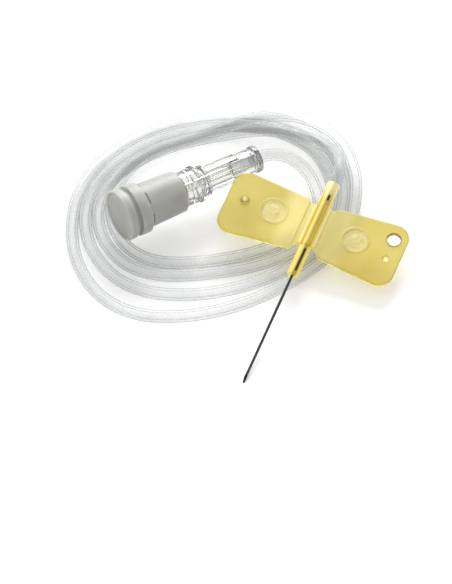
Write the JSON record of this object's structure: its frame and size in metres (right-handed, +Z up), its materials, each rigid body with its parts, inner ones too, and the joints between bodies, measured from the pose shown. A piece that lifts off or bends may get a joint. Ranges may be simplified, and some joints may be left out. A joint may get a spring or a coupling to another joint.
{
  "type": "winged infusion set",
  "caption": "Winged infusion set: a steel needle with folding yellow wings, a coiled clear tube and a ribbed luer connector under a push-on cap.",
  "frame": {"origin": "on the table, under the middle of the needle, hub and wings", "axes": "+Y from the needle's tip towards the tube, +X towards the right wing, +Z up from the table"},
  "size_m": [0.0518, 0.0508, 0.0103],
  "materials": {
    "steel": "drawn stainless steel",
    "yellow_hub": "moulded, slightly translucent",
    "yellow_wings": "soft moulded vinyl, slightly translucent",
    "clear_connector": "clear moulded plastic",
    "grey_cap": "smooth, slightly translucent grey",
    "clear_tubing": "clear flexible vinyl tube"
  },
  "bodies": {
    "base": {"needle_cannula": "steel", "needle_hub": "yellow_hub", "wing_sleeve": "yellow_wings", "luer_connector": "clear_connector", "tubing_coil": "clear_tubing", "tubing_lead_in": "clear_tubing", "tubing_lead_out": "clear_tubing"},
    "left_wing": {"left_wing": "yellow_wings"},
    "right_wing": {"right_wing": "yellow_wings"},
    "cap": {"luer_cap": "grey_cap"}
  },
  "joints": [
    {"name": "left_wing_fold", "type": "hinge", "parent": "base", "child": "left_wing", "pos_m": [-0.00149, 0.01032, 0.00456], "axis": [0, 0.9897, 0.1435], "range_deg": [0, 93], "stiffness_Nm_per_rad": 0.00005},
    {"name": "right_wing_fold", "type": "hinge", "parent": "base", "child": "right_wing", "pos_m": [0.00149, 0.01036, 0.00428], "axis": [0, -0.9897, -0.1435], "range_deg": [0, 93], "stiffness_Nm_per_rad": 0.00005},
    {"name": "cap_pull", "type": "slide", "parent": "base", "child": "cap", "axis": [-0.6054, -0.7947, 0.0454], "range_m": [0, 0.0083]}
  ]
}
